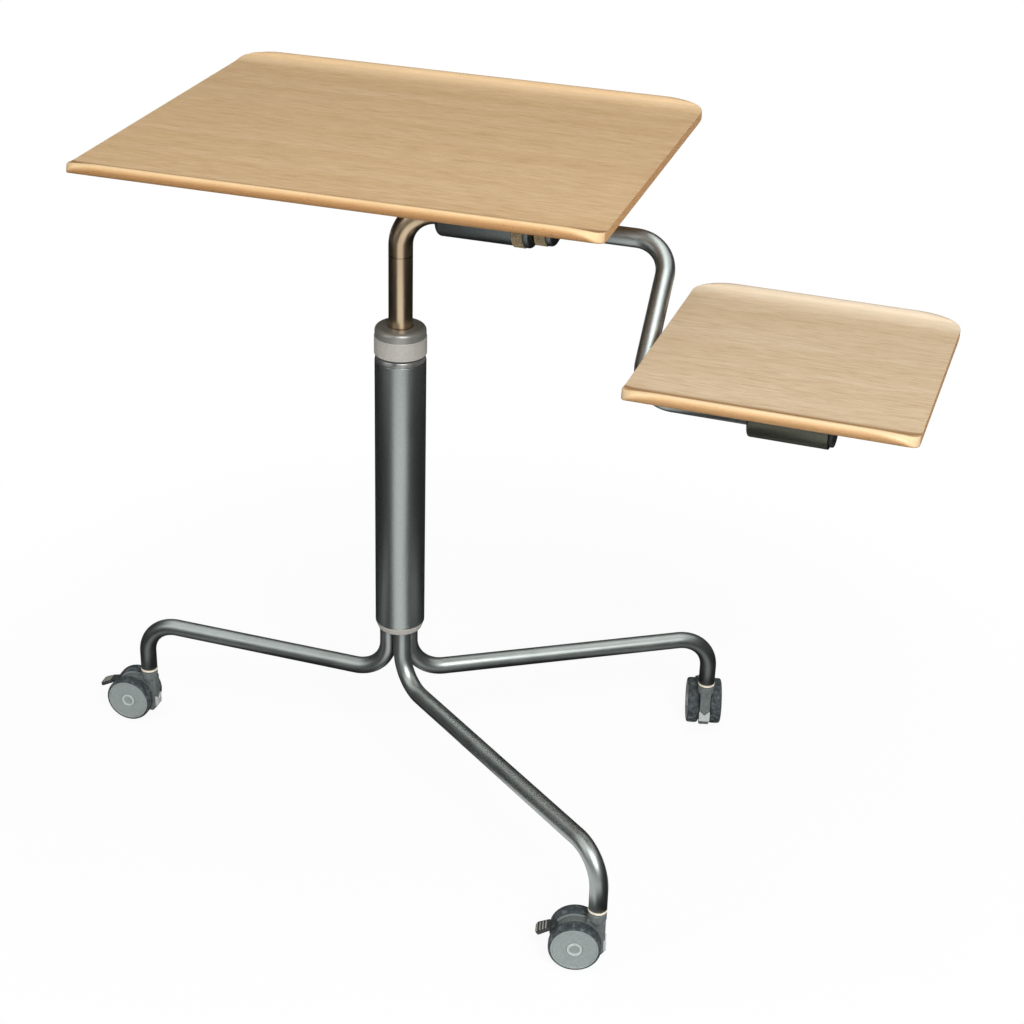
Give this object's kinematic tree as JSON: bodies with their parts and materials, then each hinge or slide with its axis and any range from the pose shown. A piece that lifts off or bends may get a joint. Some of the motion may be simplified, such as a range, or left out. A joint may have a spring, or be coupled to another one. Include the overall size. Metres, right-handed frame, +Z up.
{
  "type": "typewriter table",
  "caption": "Wheeled typewriter table with a bent-tube base, a telescopic column, a wide tilting wooden tray and a small side tray on a cranked arm.",
  "frame": {"origin": "on the floor under the middle of the bounding box", "axes": "+X to the right along the trays, +Y to the back, +Z up"},
  "size_m": [0.9384, 0.536, 0.7607],
  "materials": {
    "charcoal_tube": "satin",
    "mast_nickel": "satin",
    "blasted_collar": "bead-blasted matt",
    "dark_sleeve": "satin",
    "pale_sleeve": "satin",
    "knurled_brass": "knurled",
    "bright_steel": "satin",
    "tray_wood": "satin lacquer",
    "ivory_ring": "satin",
    "black_plastic": "matt",
    "caster_grey": "satin",
    "caster_tyre": "dusty matt"
  },
  "bodies": {
    "base": {"column_tube": "charcoal_tube", "column_foot": "charcoal_tube", "leg_left": "charcoal_tube", "leg_right": "charcoal_tube", "leg_front": "charcoal_tube", "leg_ring_left": "ivory_ring", "leg_ring_right": "ivory_ring", "leg_ring_front": "ivory_ring", "column_bush": "bright_steel", "clamp_collet": "knurled_brass"},
    "collar": {"clamp_collar": "blasted_collar"},
    "piston": {"guide_piston": "black_plastic"},
    "mast": {"upright_tube": "mast_nickel", "upright_plug": "black_plastic", "upright_stop": "bright_steel"},
    "tray": {"main_tray": "tray_wood", "tray_sleeve": "dark_sleeve", "tray_saddle": "dark_sleeve", "tray_screw_1": "bright_steel", "tray_screw_2": "bright_steel", "tray_screw_3": "bright_steel", "tray_screw_4": "bright_steel"},
    "tilt_knob": {"tilt_nut": "knurled_brass", "tilt_cap": "dark_sleeve"},
    "arm_knob": {"arm_nut": "knurled_brass", "arm_cap": "dark_sleeve"},
    "slider": {"arm_bush": "black_plastic"},
    "arm": {"arm_tube": "charcoal_tube"},
    "side_tray": {"small_tray": "tray_wood", "small_sleeve": "pale_sleeve", "small_sleeve_cap": "black_plastic", "small_saddle": "pale_sleeve", "small_screw_1": "bright_steel", "small_screw_2": "bright_steel", "small_screw_3": "bright_steel", "small_screw_4": "bright_steel"},
    "caster_left": {"caster_left_housing": "caster_grey", "caster_left_stem": "bright_steel", "caster_left_axle": "bright_steel"},
    "caster_left_wheel_a": {"caster_left_hub_a": "caster_grey", "caster_left_tyre_a": "caster_tyre"},
    "caster_left_wheel_b": {"caster_left_hub_b": "caster_grey", "caster_left_tyre_b": "caster_tyre"},
    "caster_left_brake": {"caster_left_pedal": "black_plastic"},
    "caster_right": {"caster_right_housing": "caster_grey", "caster_right_stem": "bright_steel", "caster_right_axle": "bright_steel"},
    "caster_right_wheel_a": {"caster_right_hub_a": "caster_grey", "caster_right_tyre_a": "caster_tyre"},
    "caster_right_wheel_b": {"caster_right_hub_b": "caster_grey", "caster_right_tyre_b": "caster_tyre"},
    "caster_right_brake": {"caster_right_pedal": "black_plastic"},
    "caster_front": {"caster_front_housing": "caster_grey", "caster_front_stem": "bright_steel", "caster_front_axle": "bright_steel"},
    "caster_front_wheel_a": {"caster_front_hub_a": "caster_grey", "caster_front_tyre_a": "caster_tyre"},
    "caster_front_wheel_b": {"caster_front_hub_b": "caster_grey", "caster_front_tyre_b": "caster_tyre"},
    "caster_front_brake": {"caster_front_pedal": "black_plastic"}
  },
  "joints": [
    {"name": "collar_turn", "type": "hinge", "parent": "base", "child": "collar", "pos_m": [-0.09025, 0.01029, 0.538], "axis": [0, 0, 1], "range_deg": [-60, 60]},
    {"name": "height_slide", "type": "slide", "parent": "base", "child": "piston", "axis": [0, 0, 1], "range_m": [-0.075, 0.12]},
    {"name": "mast_swivel", "type": "hinge", "parent": "piston", "child": "mast", "pos_m": [-0.09025, 0.01029, 0.335], "axis": [0, 0, 1], "continuous": true},
    {"name": "tray_tilt", "type": "hinge", "parent": "mast", "child": "tray", "pos_m": [-0.00825, 0.01029, 0.6806], "axis": [1, 0, 0], "range_deg": [-15, 30]},
    {"name": "tilt_knob_turn", "type": "hinge", "parent": "mast", "child": "tilt_knob", "pos_m": [0.04275, 0.01029, 0.6806], "axis": [1, 0, 0], "range_deg": [-60, 60]},
    {"name": "arm_knob_turn", "type": "hinge", "parent": "mast", "child": "arm_knob", "pos_m": [0.06475, 0.01029, 0.6806], "axis": [1, 0, 0], "range_deg": [-60, 60]},
    {"name": "arm_slide", "type": "slide", "parent": "mast", "child": "slider", "axis": [1, 0, 0], "range_m": [-0.008, 0.045]},
    {"name": "arm_swing", "type": "hinge", "parent": "slider", "child": "arm", "pos_m": [0.00075, 0.01029, 0.6806], "axis": [1, 0, 0], "range_deg": [-45, 45]},
    {"name": "side_tray_tilt", "type": "hinge", "parent": "arm", "child": "side_tray", "pos_m": [0.3355, -0.10467, 0.5656], "axis": [0.9997, -0.0255, 0], "range_deg": [-40, 40]},
    {"name": "caster_left_swivel", "type": "hinge", "parent": "base", "child": "caster_left", "pos_m": [-0.40731, 0.01559, 0.062], "axis": [0, 0, 1], "continuous": true},
    {"name": "caster_left_wheel_a_spin", "type": "hinge", "parent": "caster_left", "child": "caster_left_wheel_a", "pos_m": [-0.42782, 0.00137, 0.027], "axis": [0.0349, -0.9994, 0], "continuous": true},
    {"name": "caster_left_wheel_b_spin", "type": "hinge", "parent": "caster_left", "child": "caster_left_wheel_b", "pos_m": [-0.42877, 0.02835, 0.027], "axis": [0.0349, -0.9994, 0], "continuous": true},
    {"name": "caster_left_brake_lift", "type": "hinge", "parent": "caster_left", "child": "caster_left_brake", "pos_m": [-0.45042, 0.01409, 0.0405], "axis": [-0.0349, 0.9994, 0], "range_deg": [0, 15]},
    {"name": "caster_right_swivel", "type": "hinge", "parent": "base", "child": "caster_right", "pos_m": [0.22448, 0.20704, 0.062], "axis": [0, 0, 1], "continuous": true},
    {"name": "caster_right_wheel_a_spin", "type": "hinge", "parent": "caster_right", "child": "caster_right_wheel_a", "pos_m": [0.206, 0.22383, 0.027], "axis": [-0.9659, -0.2588, 0], "continuous": true},
    {"name": "caster_right_wheel_b_spin", "type": "hinge", "parent": "caster_right", "child": "caster_right_wheel_b", "pos_m": [0.23208, 0.23082, 0.027], "axis": [-0.9659, -0.2588, 0], "continuous": true},
    {"name": "caster_right_brake_lift", "type": "hinge", "parent": "caster_right", "child": "caster_right_brake", "pos_m": [0.21331, 0.24871, 0.0405], "axis": [0.9659, 0.2588, 0], "range_deg": [0, 15]},
    {"name": "caster_front_swivel", "type": "hinge", "parent": "base", "child": "caster_front", "pos_m": [0.21109, -0.23825, 0.062], "axis": [0, 0, 1], "continuous": true},
    {"name": "caster_front_wheel_a_spin", "type": "hinge", "parent": "caster_front", "child": "caster_front_wheel_a", "pos_m": [0.19366, -0.25613, 0.027], "axis": [0.225, -0.9744, 0], "continuous": true},
    {"name": "caster_front_wheel_b_spin", "type": "hinge", "parent": "caster_front", "child": "caster_front_wheel_b", "pos_m": [0.18759, -0.22983, 0.027], "axis": [0.225, -0.9744, 0], "continuous": true},
    {"name": "caster_front_brake_lift", "type": "hinge", "parent": "caster_front", "child": "caster_front_brake", "pos_m": [0.16905, -0.24796, 0.0405], "axis": [-0.225, 0.9744, 0], "range_deg": [0, 15]}
  ]
}
